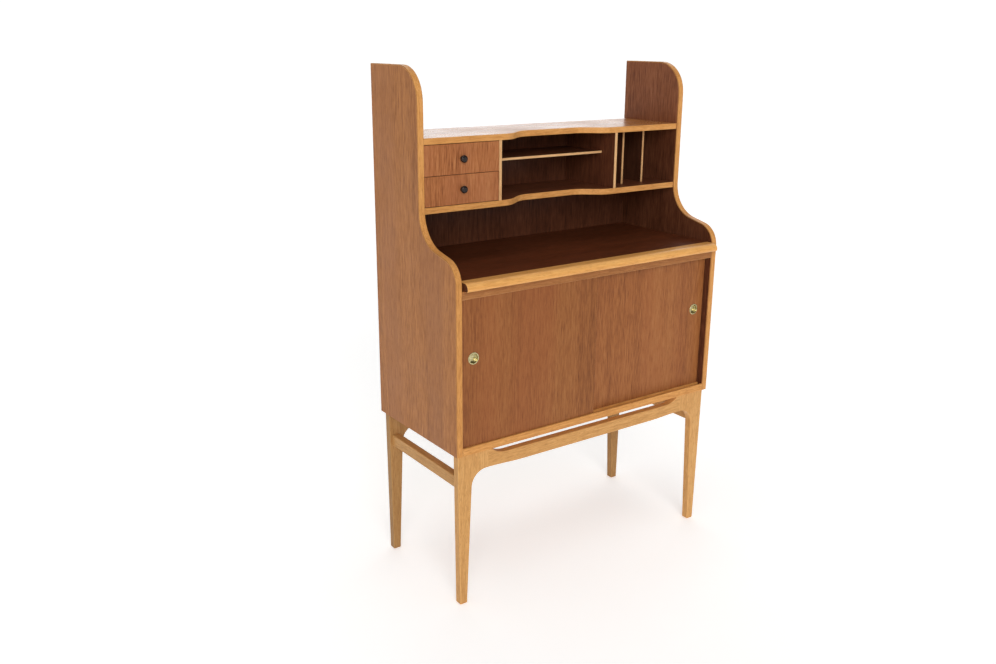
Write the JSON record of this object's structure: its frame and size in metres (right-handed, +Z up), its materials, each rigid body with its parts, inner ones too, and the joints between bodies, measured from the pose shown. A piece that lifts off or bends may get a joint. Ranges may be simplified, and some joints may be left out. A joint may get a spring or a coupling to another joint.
{
  "type": "secretary desk",
  "caption": "Teak secretary desk with a hutch of drawers and pigeonholes, a pull-out writing board, sliding doors and a beech leg frame.",
  "frame": {"origin": "on the floor, in the middle of the width and of the overall depth", "axes": "+Z up, +X to the right seen from the front, -Y to the front, where the doors and the writing board are"},
  "size_m": [0.79, 0.3684, 1.216],
  "materials": {
    "teak": "satin oiled veneer",
    "beech": "satin lacquer",
    "birch": "matt lacquer",
    "brass": "aged satin",
    "dark_knob": "dark stained satin",
    "steel": "zinc plated"
  },
  "bodies": {
    "cabinet": {"back_panel_lower": "birch", "back_panel_upper": "teak", "back_screws": "steel", "base_dowels": "beech", "base_screws": "steel", "case_bottom": "teak", "case_bottom_rail": "beech", "case_dowels": "beech", "case_top": "birch", "case_top_rail": "beech", "divider_edges": "beech", "divider_left": "teak", "divider_right": "teak", "drawer_runner": "birch", "front_rail": "beech", "hutch_shelf": "teak", "hutch_shelf_edge": "beech", "hutch_top": "teak", "hutch_top_edge": "beech", "inner_shelf": "teak", "leg_front_left": "beech", "leg_front_right": "beech", "leg_rear_left": "beech", "leg_rear_right": "beech", "letter_shelf": "teak", "letter_shelf_edge": "beech", "pigeonhole_divider_1": "teak", "pigeonhole_divider_2": "teak", "pigeonhole_edges": "beech", "rear_rail": "beech", "shelf_pins": "steel", "side_edge_left": "beech", "side_edge_right": "beech", "side_panel_left": "teak", "side_panel_right": "teak", "side_rail_left": "beech", "side_rail_right": "beech", "slide_guide_left": "beech", "slide_guide_right": "beech"},
    "writing_slide": {"writing_board": "teak", "board_nosing": "beech", "slide_stop_pegs": "beech"},
    "left_door": {"door_left": "teak", "door_pull_left": "brass"},
    "right_door": {"door_right": "teak", "door_pull_right": "brass"},
    "upper_drawer": {"upper_drawer_back": "birch", "upper_drawer_bottom": "birch", "upper_drawer_front": "teak", "upper_drawer_knob": "dark_knob", "upper_drawer_knob_screw": "steel", "upper_drawer_side_left": "birch", "upper_drawer_side_right": "birch"},
    "lower_drawer": {"lower_drawer_back": "birch", "lower_drawer_bottom": "birch", "lower_drawer_front": "teak", "lower_drawer_knob": "dark_knob", "lower_drawer_knob_screw": "steel", "lower_drawer_side_left": "birch", "lower_drawer_side_right": "birch"}
  },
  "joints": [
    {"name": "writing_board_slide", "type": "slide", "parent": "cabinet", "child": "writing_slide", "axis": [0, -1, 0], "range_m": [0, 0.22]},
    {"name": "left_door_slide", "type": "slide", "parent": "cabinet", "child": "left_door", "axis": [1, 0, 0], "range_m": [0, 0.374]},
    {"name": "right_door_slide", "type": "slide", "parent": "cabinet", "child": "right_door", "axis": [-1, 0, 0], "range_m": [0, 0.374]},
    {"name": "upper_drawer_slide", "type": "slide", "parent": "cabinet", "child": "upper_drawer", "axis": [0, -1, 0], "range_m": [0, 0.14]},
    {"name": "lower_drawer_slide", "type": "slide", "parent": "cabinet", "child": "lower_drawer", "axis": [0, -1, 0], "range_m": [0, 0.14]}
  ]
}
